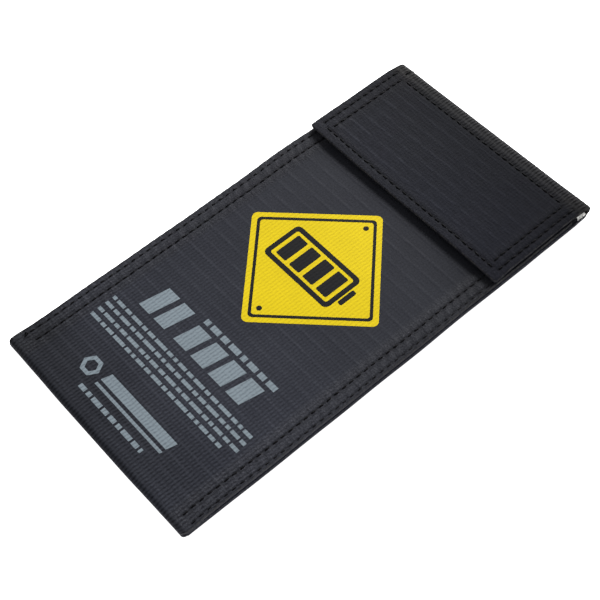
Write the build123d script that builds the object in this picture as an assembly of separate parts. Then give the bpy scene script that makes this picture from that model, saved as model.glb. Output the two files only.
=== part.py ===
from build123d import *
import os
from math import cos, pi, radians, sin

# A flat sewn pouch for charging and storing lithium polymer packs. One long strip of coated
# glass-fibre cloth, lined with plain glass fibre, makes the back, the bottom fold, the front and
# the closing flap. The sides are turned in and sewn twice, and the flap closes on hook and loop tape.
# Millimetres. X is the width, Y the length (the flap end is +Y), Z up from the face it lies on.

# ---- driving dimensions ----
WIDTH = 104.0          # over the sewn sides
LENGTH = 200.0         # bottom fold to top fold
POUCH_HEIGHT = 3.35    # front and back together, empty
CLOSED_HEIGHT = 5.9    # over the closed flap
FLAP_LENGTH = 51.8     # top fold to the flap's front edge
MOUTH_DEPTH = 9.0      # top fold to the mouth edge of the front

CLOTH = 0.45           # coated outer cloth
LINING = 0.35          # glass-fibre lining
SEAM_WIDTH = 8.5       # turned-in edge along each side of the pouch
FLAP_HEM = 7.5         # turned-under edge round the flap
MOUTH_HEM = 9.0        # turned-in edge at the mouth

STITCH_PITCH = 3.6
STITCH_LENGTH = 2.4
STITCH_WIDTH = 0.7
STITCH_HEIGHT = 0.3

TAPE_BASE = 0.4        # woven ground of either tape
TAPE_PILE = 0.4        # loops
TAPE_HOOKS = 0.35      # hooks
TAPE_SELVEDGE = 2.5    # plain margin round the pile
TAPE_HALF_WIDTH = 43.5

INK = 0.06             # one printed layer

# ---- places that follow ----
HALF_W = WIDTH / 2
HALF_L = LENGTH / 2
LAYER = CLOTH + LINING
SEAM_HEIGHT = POUCH_HEIGHT / 2 - LAYER       # a turned edge fills its half of the pouch
POUCH_RADIUS = POUCH_HEIGHT / 2
FOLD_RADIUS = CLOSED_HEIGHT / 2
BOTTOM_Y = -HALF_L + POUCH_RADIUS            # the bottom fold's centre line
FOLD_Y = HALF_L - FOLD_RADIUS                # the top fold's centre line
MOUTH_Y = HALF_L - MOUTH_DEPTH
FLAP_Y = HALF_L - FLAP_LENGTH
FLAP_TOP = CLOSED_HEIGHT
FLAP_UNDER = FLAP_TOP - LAYER
POUCH_TOP = POUCH_HEIGHT
INNER_HALF = HALF_W - SEAM_WIDTH
FOLD_GAP_DEG = 12.0                          # keeps the stiff fold strip clear of both panels
FLAP_CORNER = 2.5

LOOP_Y = (FLAP_Y + 6.0, MOUTH_Y - 2.0)
HOOK_Y = (FLAP_Y + FLAP_HEM + 0.4, FOLD_Y - 2.0)

# ---- printed layout, in the plane of the front ----
SIGN_CENTRE = (-0.5, 3.6)
SIGN_HALF_DIAGONAL = 35.9
SIGN_CORNER = 2.4
SIGN_MARGIN = 2.2
SIGN_LINE = 1.25
SIGN_DOT = (27.0, 1.1)                       # distance from the centre, radius


def slab(x0, x1, y0, y1, z0, z1):
    """A flat layer between two corners."""
    return Pos((x0 + x1) / 2, (y0 + y1) / 2, (z0 + z1) / 2) * Box(x1 - x0, y1 - y0, z1 - z0)


def fold(centre_y, centre_z, outer, thickness, start_deg, end_deg, half_width):
    """Cloth turned round an axis along X. Angles run from straight down, outwards past level, to up."""
    def point(radius, deg, side):
        return (centre_y + side * radius * sin(radians(deg)), centre_z - radius * cos(radians(deg)))

    side = 1 if centre_y > 0 else -1
    inner, middle = outer - thickness, (start_deg + end_deg) / 2
    outside = ThreePointArc(*(point(outer, a, side) for a in (start_deg, middle, end_deg)))
    inside = ThreePointArc(*(point(inner, a, side) for a in (end_deg, middle, start_deg)))
    edges = [outside, Line(outside @ 1, inside @ 0), inside, Line(inside @ 1, outside @ 0)]
    section = make_face(Curve() + edges)
    at_left = Plane(origin=(-half_width, 0, 0), x_dir=(0, 1, 0), z_dir=(1, 0, 0))
    return extrude(at_left * section, 2 * half_width)


def stitch(x, y, z, along_y):
    """One flattened stitch lying on a face."""
    outline = SlotOverall(STITCH_LENGTH, STITCH_WIDTH, rotation=90 if along_y else 0)
    return Pos(x, y, z) * extrude(outline, STITCH_HEIGHT)


def row(start, end, z):
    """A straight row of separate stitches between two points."""
    (x0, y0), (x1, y1) = start, end
    along_y = abs(y1 - y0) > abs(x1 - x0)
    span = abs(y1 - y0) + abs(x1 - x0) - STITCH_LENGTH
    count = int(span / STITCH_PITCH) + 1
    first = (span - (count - 1) * STITCH_PITCH + STITCH_LENGTH) / 2
    total = span + STITCH_LENGTH
    shares = [(first + i * STITCH_PITCH) / total for i in range(count)]
    return [stitch(x0 + (x1 - x0) * s, y0 + (y1 - y0) * s, z, along_y) for s in shares]


def tape(y0, y1, base_z, base, pile, facing):
    """A strip of tape: a plain woven ground with a raised field inside its selvedge."""
    field = TAPE_HALF_WIDTH - TAPE_SELVEDGE
    low, high = sorted((base_z, base_z + facing * base))
    ground = slab(-TAPE_HALF_WIDTH, TAPE_HALF_WIDTH, y0, y1, low, high)
    low, high = sorted((base_z + facing * base, base_z + facing * (base + pile)))
    return ground + slab(-field, field, y0 + TAPE_SELVEDGE, y1 - TAPE_SELVEDGE, low, high)


def ink(outline, level=0):
    """A printed shape on the front panel, level 1 being printed over level 0."""
    return extrude(Pos(0, 0, POUCH_TOP + level * INK) * outline, INK)


def diamond(half_diagonal, corner):
    side = half_diagonal * 2 ** 0.5
    return Pos(*SIGN_CENTRE) * RectangleRounded(side, side, corner, rotation=45)


def bars(x0, x1, y, height, widths, gap, slant=0.0):
    """A line of blocks from x0 to x1. Their widths repeat a pattern, and they lean by slant."""
    shapes, x, i = [], x0, 0
    while x < x1 - 0.5:
        right = min(x + widths[i % len(widths)], x1)
        low, high = y - height / 2, y + height / 2
        corners = [(x, low), (right, low), (right + slant, high), (x + slant, high)]
        shapes.append(make_face(Polyline(*corners, close=True)))
        x, i = right + gap, i + 1
    return shapes


def pouch_cloth():
    """The outer cloth and lining of the back, bottom fold and front."""
    back_hem_z = (LAYER, LAYER + SEAM_HEIGHT)
    front_hem_z = (POUCH_RADIUS, POUCH_RADIUS + SEAM_HEIGHT)
    nodes = {
        "back_panel": slab(-HALF_W, HALF_W, BOTTOM_Y, FOLD_Y, 0, CLOTH),
        "back_lining": slab(-HALF_W, HALF_W, BOTTOM_Y, FOLD_Y, CLOTH, LAYER),
        "front_panel": slab(-HALF_W, HALF_W, BOTTOM_Y, MOUTH_Y, POUCH_TOP - CLOTH, POUCH_TOP),
        "front_lining": slab(-HALF_W, HALF_W, BOTTOM_Y, MOUTH_Y, POUCH_TOP - LAYER, POUCH_TOP - CLOTH),
        "bottom_fold": fold(BOTTOM_Y, POUCH_RADIUS, POUCH_RADIUS, CLOTH, 0, 180, HALF_W),
        "bottom_fold_lining": fold(
            BOTTOM_Y, POUCH_RADIUS, POUCH_RADIUS - CLOTH, LINING, 0, 180, HALF_W
        ),
        "mouth_hem": slab(
            -INNER_HALF, INNER_HALF, MOUTH_Y - MOUTH_HEM, MOUTH_Y,
            POUCH_TOP - LAYER - CLOTH, POUCH_TOP - LAYER,
        ),
    }
    for name, outer, inner in (("left", -HALF_W, -INNER_HALF), ("right", INNER_HALF, HALF_W)):
        nodes[name + "_back_hem"] = slab(outer, inner, BOTTOM_Y, FOLD_Y, *back_hem_z)
        nodes[name + "_front_hem"] = slab(outer, inner, BOTTOM_Y, MOUTH_Y, *front_hem_z)
    return nodes


def pouch_stitching():
    """Two rows down each side, and one along the mouth. Each node is one seam's thread."""
    outer_x, inner_x = HALF_W - 2.1, HALF_W - 6.5
    bottom = {-1: -HALF_L + 7.0, 1: -HALF_L + 3.8}
    nodes = {}
    for name, side in (("left", -1), ("right", 1)):
        for which, x in (("outer", outer_x), ("inner", inner_x)):
            ends = (side * x, bottom[side]), (side * x, MOUTH_Y - 1.0)
            nodes[f"{name}_{which}_stitching"] = Compound(row(*ends, POUCH_TOP))
    along = MOUTH_Y - 0.9
    nodes["mouth_stitching"] = Compound(row((-inner_x + 2, along), (inner_x - 2, along), POUCH_TOP))
    return nodes


def loop_tape():
    """The soft tape sewn to the front, under the flap."""
    edge_y = [LOOP_Y[0] + 1.2, LOOP_Y[1] - 1.2]
    edge_x = TAPE_HALF_WIDTH - 1.2
    seam_z = POUCH_TOP + TAPE_BASE
    seams = []
    for y in edge_y:
        seams += row((-edge_x + 2, y), (edge_x - 2, y), seam_z)
    for x in (-edge_x, edge_x):
        seams += row((x, edge_y[0] + 2), (x, edge_y[1] - 2), seam_z)
    return {
        "loop_tape": tape(*LOOP_Y, POUCH_TOP, TAPE_BASE, TAPE_PILE, 1),
        "loop_tape_stitching": Compound(seams),
    }


def prints():
    """The printed sign and marks on the front, with a plain battery symbol and no lettering."""
    x, y = SIGN_CENTRE
    line_at = SIGN_HALF_DIAGONAL - SIGN_MARGIN * 2 ** 0.5
    border = diamond(line_at, SIGN_CORNER * 0.75) - diamond(line_at - SIGN_LINE * 2 ** 0.5, SIGN_CORNER * 0.5)
    distance, radius = SIGN_DOT
    dots = [Pos(x, y + s * distance) * Circle(radius) for s in (-1, 1)]
    case_w, case_h, wall = 36.0, 18.5, 2.1
    case = Pos(x - 1, y) * (
        RectangleRounded(case_w, case_h, 2.4)
        - RectangleRounded(case_w - 2 * wall, case_h - 2 * wall, 1.0)
    )
    terminal = Pos(x - 1 + case_w / 2 + 1.7, y) * RectangleRounded(2.2, 8.0, 0.7)
    cells = [
        Pos(x - 1 + (i - 1.5) * 7.6, y) * RectangleRounded(5.6, case_h - 2 * wall - 2.6, 0.6)
        for i in range(4)
    ]
    black = [ink(shape, 1) for shape in [border, *dots, case, terminal, *cells]]

    word = (1.9, 4.2, 3.0, 5.4, 2.4, 3.6, 6.2, 2.8)
    band = bars(-32.4, -15.6, -48.8, 12.8, (6.4,), 2.6, slant=2.4)
    band += bars(-11.6, 28.4, -49.9, 10.6, (7.4,), 2.6, slant=2.0)
    caption = bars(-9.5, 30.3, -41.5, 2.4, (2.4, 4.6, 3.4, 5.2), 1.3)
    lines = []
    line_ends = ((-60.2, 39.9), (-63.6, 39.6), (-67.1, 39.9), (-70.5, 34.5))
    for i, (y_line, right) in enumerate(line_ends):
        lines += bars(-41.4, right, y_line, 1.5, word[i:] + word[:i], 0.9)
    emblem = Pos(-22.6, -84.2) * (RegularPolygon(4.4, 6) - RegularPolygon(2.6, 6))
    mark = bars(-15.6, 23.2, -83.0, 4.4, (38.0,), 1.0, slant=1.2)
    underline = bars(-15.9, 22.6, -87.2, 1.2, (38.0,), 1.0, slant=0.3)
    foot = bars(-19.0, 17.4, -92.0, 1.9, (3.4, 2.2, 5.0, 3.0), 1.0)
    grey = [ink(shape) for shape in [*band, *caption, *lines, emblem, *mark, *underline, *foot]]
    return {
        "yellow_print": ink(diamond(SIGN_HALF_DIAGONAL, SIGN_CORNER)),
        "black_print": Compound([solid for shape in black for solid in shape.solids()]),
        "grey_print": Compound([solid for shape in grey for solid in shape.solids()]),
    }


def spine():
    """The cloth over the top fold, which turns between the back and the flap."""
    turn = (FOLD_GAP_DEG, 180 - FOLD_GAP_DEG)
    return {
        "fold_cloth": fold(FOLD_Y, FOLD_RADIUS, FOLD_RADIUS, CLOTH, *turn, HALF_W),
        "fold_lining": fold(FOLD_Y, FOLD_RADIUS, FOLD_RADIUS - CLOTH, LINING, *turn, HALF_W),
    }


def flap():
    """The flap: cloth, lining, turned edges, hook tape and the seams that show on top."""
    def panel(z0, z1):
        body = slab(-HALF_W, HALF_W, FLAP_Y, FOLD_Y, z0, z1)
        return fillet(body.edges().filter_by(Axis.Z).group_by(Axis.Y)[0], FLAP_CORNER)

    hem_z = (FLAP_UNDER - CLOTH, FLAP_UNDER)
    hem_y = FLAP_Y + FLAP_HEM
    hem_x = HALF_W - FLAP_HEM
    front_hem = slab(-HALF_W, HALF_W, FLAP_Y, hem_y, *hem_z)
    box_x, box_y = HALF_W - 7.0, (FLAP_Y + 3.4, HALF_L - 6.0)
    outer_x = HALF_W - 3.0
    box_seams = row((-outer_x + 2, box_y[0]), (outer_x - 2, box_y[0]), FLAP_TOP)
    box_seams += row((-box_x + 2, box_y[1]), (box_x - 2, box_y[1]), FLAP_TOP)
    for x in (-box_x, box_x):
        box_seams += row((x, box_y[0] + 2), (x, box_y[1]), FLAP_TOP)
    side_seams = []
    for x in (-outer_x, outer_x):
        side_seams += row((x, box_y[0]), (x, FOLD_Y - 1), FLAP_TOP)
    return {
        "flap_panel": panel(FLAP_UNDER + LINING, FLAP_TOP),
        "flap_lining": panel(FLAP_UNDER, FLAP_UNDER + LINING),
        "flap_front_hem": fillet(front_hem.edges().filter_by(Axis.Z).group_by(Axis.Y)[0], FLAP_CORNER),
        "flap_left_hem": slab(-HALF_W, -hem_x, hem_y, FOLD_Y, *hem_z),
        "flap_right_hem": slab(hem_x, HALF_W, hem_y, FOLD_Y, *hem_z),
        "hook_tape": tape(*HOOK_Y, FLAP_UNDER, TAPE_BASE, TAPE_HOOKS, -1),
        "flap_box_stitching": Compound(box_seams),
        "flap_side_stitching": Compound(side_seams),
    }


def main():
    os.makedirs("parts", exist_ok=True)
    nodes = {**pouch_cloth(), **pouch_stitching(), **loop_tape(), **prints(), **spine(), **flap()}
    for name, shape in nodes.items():
        export_step(shape, f"parts/{name}.step")
    lift = FOLD_RADIUS * (1 - pi / 4)
    print("nodes", len(nodes))
    print("fold axes: y", round(FOLD_Y + FOLD_RADIUS * pi / 4, 3), "z", round(lift, 3),
          "and", round(CLOSED_HEIGHT - lift, 3))
    print("flat strip", WIDTH, "by", round(
        (FOLD_Y - BOTTOM_Y) + (MOUTH_Y - BOTTOM_Y) + pi * (POUCH_RADIUS + FOLD_RADIUS)
        + (FOLD_Y - FLAP_Y), 1))


main()
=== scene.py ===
import math

import bmesh
import bpy
import numpy as np
from mathutils import Matrix, Vector


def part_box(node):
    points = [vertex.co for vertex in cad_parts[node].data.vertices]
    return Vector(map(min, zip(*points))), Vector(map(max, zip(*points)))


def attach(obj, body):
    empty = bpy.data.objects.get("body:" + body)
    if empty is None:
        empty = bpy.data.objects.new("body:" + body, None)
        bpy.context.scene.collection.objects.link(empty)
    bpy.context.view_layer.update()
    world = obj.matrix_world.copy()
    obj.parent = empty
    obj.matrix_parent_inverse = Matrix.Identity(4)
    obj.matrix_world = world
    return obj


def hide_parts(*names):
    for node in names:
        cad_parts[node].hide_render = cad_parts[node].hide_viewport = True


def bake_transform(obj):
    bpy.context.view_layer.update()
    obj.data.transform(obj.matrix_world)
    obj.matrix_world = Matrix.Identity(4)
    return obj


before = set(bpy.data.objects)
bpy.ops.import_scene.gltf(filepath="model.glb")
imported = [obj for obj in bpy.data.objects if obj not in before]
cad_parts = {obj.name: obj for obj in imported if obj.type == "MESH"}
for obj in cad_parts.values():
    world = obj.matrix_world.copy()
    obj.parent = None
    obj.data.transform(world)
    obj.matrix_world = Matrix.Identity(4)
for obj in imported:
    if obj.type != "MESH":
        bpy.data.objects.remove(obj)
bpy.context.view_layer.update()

# The bag is one long strip of coated cloth. It runs from the mouth down the front, round the
# bottom fold, up the back, over the top fold and down the flap. Every piece is laid out on that
# strip as it was cut, flat: x across, s along from the mouth, h inwards from the outer face.
# place() then folds it. Lengths are millimetres until a mesh is made.

MM = 0.001


def box_mm(node):
    low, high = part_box(node)
    return np.array(low) / MM, np.array(high) / MM


# ---- sizes from the frame ----
back_low, back_high = box_mm("back_panel")
front_high = box_mm("front_panel")[1]
flap_low, flap_high = box_mm("flap_panel")
fold_high = box_mm("fold_cloth")[1]
seam_low, seam_high = box_mm("left_front_hem")
hook_low, hook_high = box_mm("hook_tape")
loop_low, loop_high = box_mm("loop_tape")

HALF_W = back_high[0]
HALF_L = fold_high[1]
BOTTOM_Y, FOLD_Y = back_low[1], back_high[1]
MOUTH_Y, FLAP_Y = front_high[1], flap_low[1]
POUCH_TOP, FLAP_TOP = front_high[2], flap_high[2]
POUCH_R, FOLD_R = POUCH_TOP / 2, FLAP_TOP / 2
CLOTH = back_high[2] - back_low[2]
LINING = box_mm("back_lining")[1][2] - back_high[2]
SEAM = seam_high[0] - seam_low[0]
FLAP_HEM = box_mm("flap_front_hem")[1][1] - FLAP_Y
MOUTH_HEM = MOUTH_Y - box_mm("mouth_hem")[0][1]

SEAM_T = POUCH_R - 0.015      # a turned side edge, as thick as half the pouch
FLAP_T = 2 * CLOTH + LINING   # a turned flap edge

# ---- the strip ----
FRONT_LEN = MOUTH_Y - BOTTOM_Y
BACK_LEN = FOLD_Y - BOTTOM_Y
FLAP_LEN = FOLD_Y - FLAP_Y
STRIP = [(FRONT_LEN, 0.0), (math.pi * POUCH_R, math.pi), (BACK_LEN, 0.0),
         (math.pi * FOLD_R, math.pi), (FLAP_LEN, 0.0)]
S_BACK = FRONT_LEN + math.pi * POUCH_R
S_FOLD = S_BACK + BACK_LEN
S_SPLIT = S_FOLD + math.pi * FOLD_R / 2
S_FLAP = S_FOLD + math.pi * FOLD_R
S_END = S_FLAP + FLAP_LEN
# where each panel bends most
TIGHT_BENDS = {"front": FRONT_LEN + 2.6, "back": S_FOLD + 2.3, "flap": S_SPLIT + 2.3}


def strip_centre(s):
    """Where the strip's outer face lies at s, as y and z, and its inward normal."""
    s = np.asarray(s, float)
    out = np.zeros((4,) + s.shape)
    place, heading, start = np.array([MOUTH_Y, POUCH_TOP]), math.pi, 0.0
    for i, (length, turn) in enumerate(STRIP):
        here = s >= start if i else np.ones(s.shape, bool)
        t = s - start
        normal = np.array([-math.sin(heading), math.cos(heading)])
        if turn:
            radius = length / turn
            angle = heading + t / radius
            centre = place + radius * normal
            ny, nz = -np.sin(angle), np.cos(angle)
            y, z = centre[0] - radius * ny, centre[1] - radius * nz
            place = centre - radius * np.array([-math.sin(heading + turn), math.cos(heading + turn)])
            heading += turn
        else:
            ny, nz = np.full(s.shape, normal[0]), np.full(s.shape, normal[1])
            y, z = place[0] + t * math.cos(heading), place[1] + t * math.sin(heading)
            place = place + length * np.array([math.cos(heading), math.sin(heading)])
        for k, value in enumerate((y, z, ny, nz)):
            out[k][here] = value[here]
        start += length
    return out


def smooth(t):
    t = np.clip(t, 0.0, 1.0)
    return t * t * (3 - 2 * t)


def bell(d, width):
    return np.exp(-(d / width) ** 2)


# ---- seams, read from the thread nodes of the frame ----
PITCH = 3.6            # from stitch to stitch


def islands(node):
    """The middle and size of each separate solid of a node, in millimetres."""
    mesh = bmesh.new()
    mesh.from_mesh(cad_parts[node].data)
    bmesh.ops.remove_doubles(mesh, verts=mesh.verts, dist=1e-7)
    mesh.verts.index_update()
    found, seen = [], set()
    for vertex in mesh.verts:
        if vertex.index in seen:
            continue
        group, todo = [], [vertex]
        seen.add(vertex.index)
        while todo:
            at = todo.pop()
            group.append(at.co[:])
            for edge in at.link_edges:
                other = edge.other_vert(at)
                if other.index not in seen:
                    seen.add(other.index)
                    todo.append(other)
        points = np.array(group) / MM
        found.append((points.mean(0), np.ptp(points, axis=0)))
    mesh.free()
    return found


def rows_of(node):
    """The straight rows that a thread node's stitches lie in: (lengthwise, fixed, [moving])."""
    rows = {}
    for middle, size in islands(node):
        lengthwise = bool(size[1] > size[0])
        fixed = round(float(middle[0 if lengthwise else 1]), 2)
        rows.setdefault((lengthwise, fixed), []).append(float(middle[1 if lengthwise else 0]))
    return [(lengthwise, fixed, sorted(at)) for (lengthwise, fixed), at in sorted(rows.items())]


SIDE_ROWS = {node: rows_of(node) for node in ("left_outer_stitching", "left_inner_stitching",
                                              "right_outer_stitching", "right_inner_stitching")}
MOUTH_ROWS = rows_of("mouth_stitching")
FLAP_ROWS = {node: rows_of(node) for node in ("flap_box_stitching", "flap_side_stitching")}
LOOP_ROWS = rows_of("loop_tape_stitching")


def groove(x, y, rows, depth, width=0.5):
    """How far the thread pulls the cloth in along its rows, deepest at the needle holes."""
    total = np.zeros(np.broadcast(x, y).shape)
    for lengthwise, fixed, at in rows:
        across, along = (x - fixed, y) if lengthwise else (y - fixed, x)
        ends = smooth((along - at[0] + 2.6) / 1.2) * smooth((at[-1] + 2.6 - along) / 1.2)
        holes = 0.72 - 0.28 * np.cos(2 * math.pi * (along - at[0]) / PITCH)
        total = np.maximum(total, bell(across, width) * ends * holes)
    return depth * total


# ---- how the cloth really lies: small shifts and reliefs over the plain strip ----
# Fitted to the photo's outline, in millimetres.
ALL_SIDE_ROWS, ALL_FLAP_ROWS = sum(SIDE_ROWS.values(), []), sum(FLAP_ROWS.values(), [])
ROWS_ON = {"front": ALL_SIDE_ROWS + MOUTH_ROWS, "back": ALL_SIDE_ROWS, "flap": ALL_FLAP_ROWS}
OUTER_ROW = abs(SIDE_ROWS["right_outer_stitching"][0][1])
FLAP_CROSS_ROWS = sorted(fixed for lengthwise, fixed, _ in ALL_FLAP_ROWS if not lengthwise)


def pouch_edge(x, y):
    """How far the sewn side edge strays outwards, for the front and the back alike."""
    left = 0.04 * np.sin(y / 11.5 + 0.7) + 0.05 * np.sin(y / 4.9 + 2.1) + 0.14
    left = left + 0.42 * bell(y + HALF_L - 2.0, 5.0) + 0.75 * bell(y - 34, 20)
    right = 0.04 * np.sin(y / 5.3) - 0.13
    right = right - 0.2 * bell(y + 86, 14) - 0.28 * bell(y - 37, 14) - 0.28 * smooth((y - 62) / 12)
    radius = np.where(x < 0, 0.5, 1.4)
    corner = np.clip(radius - (y + HALF_L), 0, radius)
    rounding = radius - np.sqrt(np.maximum(radius ** 2 - corner ** 2, 0))
    return np.where(x < 0, left, right) - rounding


def front_shape(x, s):
    """Moves across and along, the lie of the whole stack, and the dents of the outer face."""
    y = strip_centre(s)[0]
    reach = smooth((np.abs(x) - 36) / 14)
    dx = np.sign(x) * (pouch_edge(x, y) - np.where(x < 0, 0.0, 0.35) * smooth((y + 96) / 6)) * reach
    by_rows = smooth((np.abs(x) - 38) / 10) * (1 - smooth((np.abs(x) - 49.8) / 2))
    dx = dx + by_rows * (0.55 + np.where(x < 0, 0.0, 0.35) * bell(y + 48, 24))
    middle = 1 - smooth((np.abs(x) - 41.5) / 3.0)
    flat = smooth((y - BOTTOM_Y) / 14)
    lie = -0.16 * middle * flat
    lie = lie + middle * flat * (0.10 * np.sin(x / 17 + y / 31 + 0.4) * np.sin(y / 23 - x / 60 + 1.2)
                                 + 0.05 * np.sin(x / 7.3 - y / 19))
    turn = np.degrees((s - FRONT_LEN) / POUCH_R)
    lie = lie + 0.75 * bell(turn - 80, 45) * (1 - smooth((turn - 130) / 45))
    bowed = 0.27 * (1 - smooth((np.abs(x) - 18) / 20)) - 0.1 * smooth((np.abs(x) - 38) / 8)
    above_floor = 1 - smooth((turn - 115) / 40)
    lie = lie + (0.8 * bell(turn - 128, 34) + bowed * bell(turn - 95, 45)) * above_floor
    pucker = smooth((np.abs(x) - 40) / 6) * flat
    dent = 0.10 * pucker * np.sin(2 * math.pi * y / (1.3 * PITCH) + 1.6 * np.sin(y / 5.3) + x / 1.3)
    dent = dent - groove(x, y, ROWS_ON["front"], 0.30)
    dent = dent - 0.10 * flat * bell(np.abs(x) - OUTER_ROW, 0.8)
    return dx, 0.0, lie, dent


def back_shape(x, s):
    y = BOTTOM_Y + (s - S_BACK)
    reach = smooth((np.abs(x) - 36) / 14)
    over = smooth((s - S_FOLD + 6) / 6)
    flat = smooth((y - BOTTOM_Y) / 14) * (1 - over)
    edge = pouch_edge(x, np.clip(y, -HALF_L, HALF_L)) + np.where(x < 0, 0.0, 0.2) * flat
    edge = edge + 0.04 * flat * np.sin(y / 6.1 + np.sign(x))
    dx = np.sign(x) * reach * (edge * (1 - over) + fold_edge(x) * over)
    middle = 1 - smooth((np.abs(x) - 41.5) / 3.0)
    lie = fold_profile(x, s) - flat * middle * (0.12 + 0.08 * np.sin(x / 15 + y / 27))
    dent = -groove(x, y, ROWS_ON["back"], 0.36) * (1 - over)
    return dx, 0.0, lie, dent


def fold_edge(x):
    """How far the two ends of the top fold stray outwards."""
    return np.where(x < 0, -0.45, -0.5)


def fold_profile(x, s):
    """The top fold is creased sharper at its top than a half round, slants in below, and isn't square."""
    turn = np.degrees((s - S_FOLD) / FOLD_R)
    within = smooth(turn / 25) * (1 - smooth((turn - 165) / 25))
    askew = (0.0105 * x - 0.2 * (1 - smooth((np.abs(x) - 34) / 14))) * bell(turn - 100, 45)
    return within * (0.3 * bell(turn - 133, 26) - 0.95 * bell(turn - 62, 32) + askew)


def flap_shape(x, s):
    y = FOLD_Y - (s - S_FLAP)
    over = 1 - smooth((s - S_SPLIT) / 9.0)
    reach = smooth((np.abs(x) - 34) / 16)
    front = smooth((S_END - s) / 40)
    left = 0.92 + 0.12 * bell(y - FLAP_Y, 6.0) + 0.04 * np.sin(y / 4.1)
    right = -1.15 + 0.35 * bell(y - FLAP_Y, 8.0) + 0.1 * np.sin(y / 5.2 + 1)
    edge = np.where(x < 0, left, right)
    dx = np.sign(x) * reach * (edge * (1 - over) + fold_edge(x) * over)
    bow = 0.35 * np.cos(x / HALF_W * math.pi / 2) - 0.15 * np.sin(x / 13 + 0.5)
    lie = 1 - over
    ds = (1 - front) * bow + 1.5 * lie * bell(y - FLAP_CROSS_ROWS[-1], 5.0)
    ds = ds - 0.6 * bell(y - FLAP_CROSS_ROWS[0], 2.5) * smooth((y - FLAP_Y) / 1.0)
    by_rows = smooth((np.abs(x) - 38) / 6) * (1 - smooth((np.abs(x) - 50) / 1.8))
    dx = dx + np.where(x < 0, 0.4, 0.0) * by_rows * lie
    side_droop = smooth((np.abs(x) - 43.0) / 9.5) ** 1.4 * np.where(x < 0, 0.45, 1.0)
    end_droop = smooth((FLAP_Y + 8.5 - y) / 8.5) ** 1.3
    corner = bell(x - HALF_W, 13) * bell(y - FLAP_Y, 12)
    other = bell(x + HALF_W, 10) * bell(y - FLAP_Y, 9)
    hang = lie * (-0.42 * side_droop - 0.25 * end_droop - 0.5 * corner + 0.1 * other)
    hang = hang + lie * (0.07 * np.sin(x / 16 - y / 21 + 0.6) + 0.04 * np.sin(x / 6.5 + y / 9))
    hang = hang + fold_profile(x, s)
    dent = lie * 0.05 * end_droop * np.sin(x / 3.4 + 0.8 * np.sin(x / 9))
    dent = dent + lie * 0.06 * side_droop * np.sin(y / 0.9 + 1.4 * np.sin(y / 3.7) + x)
    dent = dent - groove(x, y, ROWS_ON["flap"], 0.22)
    return dx, ds, hang, dent


SHAPES = {"front": front_shape, "back": back_shape, "flap": flap_shape}
THICK = {"front": SEAM_T, "back": SEAM_T, "flap": FLAP_T}


def place(panel, x, s, h):
    """Folds points of the flat strip into their real place. Returns them in millimetres."""
    x, s, h = np.broadcast_arrays(np.asarray(x, float), np.asarray(s, float), np.asarray(h, float))
    dx, ds, lie, dent = SHAPES[panel](x, s)
    y, z, ny, nz = strip_centre(s + ds)
    depth = h - lie - dent * np.clip(1 - h / THICK[panel], 0.0, 1.0)
    return np.stack([x + dx, y + ny * depth, z + nz * depth], axis=-1)


# ---- meshes ----
def linked(name, data):
    """A new object in the scene."""
    obj = bpy.data.objects.new(name, data)
    bpy.context.scene.collection.objects.link(obj)
    return obj


def make(name, points, faces, material, cloth=None, smooth_faces=True):
    """A mesh object from points in millimetres, with the strip's flat coordinates as its UV."""
    mesh = bpy.data.meshes.new(name)
    mesh.from_pydata((np.asarray(points) * MM).tolist(), [], faces)
    if cloth is not None:
        layer = mesh.uv_layers.new(name="cloth")
        corner = np.zeros(len(mesh.loops), int)
        mesh.loops.foreach_get("vertex_index", corner)
        layer.data.foreach_set("uv", (np.asarray(cloth, float)[corner] * MM).ravel())
    mesh.polygons.foreach_set("use_smooth", [smooth_faces] * len(mesh.polygons))
    mesh.materials.append(material)
    mesh.update()
    return linked(name, mesh)


def merge_close(obj, distance=2e-7):
    mesh = bmesh.new()
    mesh.from_mesh(obj.data)
    bmesh.ops.remove_doubles(mesh, verts=mesh.verts, dist=distance)
    bmesh.ops.dissolve_degenerate(mesh, edges=mesh.edges, dist=distance)
    mesh.to_mesh(obj.data)
    mesh.free()


def thicken(obj, thickness):
    """Gives an outer face its thickness, inwards, and makes the mesh final."""
    modifier = obj.modifiers.new("thickness", "SOLIDIFY")
    modifier.thickness = thickness * MM
    modifier.offset = -1.0
    bpy.context.view_layer.update()
    seen = obj.evaluated_get(bpy.context.evaluated_depsgraph_get())
    obj.data = bpy.data.meshes.new_from_object(seen)
    obj.modifiers.clear()
    return obj


def grid_faces(rows, columns, start=0, flip=False):
    """Quads of a grid of points stored row by row."""
    i, j = np.meshgrid(np.arange(rows - 1), np.arange(columns - 1), indexing="ij")
    a = (start + i * columns + j).ravel()
    quads = np.stack([a, a + 1, a + columns + 1, a + columns], axis=1)
    return (quads[:, ::-1] if flip else quads).tolist()


def graded(low, high, coarse, fine, near, reach):
    """Positions from low to high, closer together near some places."""
    at = [low]
    while at[-1] < high:
        close = any(abs(at[-1] - c) < reach for c in near)
        at.append(at[-1] + (fine if close else coarse))
    at = np.array(at)
    return low + (at - low) * (high - low) / (at[-1] - low)


def stitch_columns():
    """Where across the strip the lengthwise rows lie."""
    rows = ALL_SIDE_ROWS + ALL_FLAP_ROWS
    return sorted({fixed for lengthwise, fixed, _ in rows if lengthwise})


HEM_LINES = [-43.5, 43.5]     # where the side hems end inside
FINE_X, FINE_S = 0.34, 0.24   # grid steps by the seams and by the bends
TURN_RINGS = 12        # rings of a turned edge round its half circle
HEM_RINGS = 7          # and on, over the width of its hem


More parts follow.
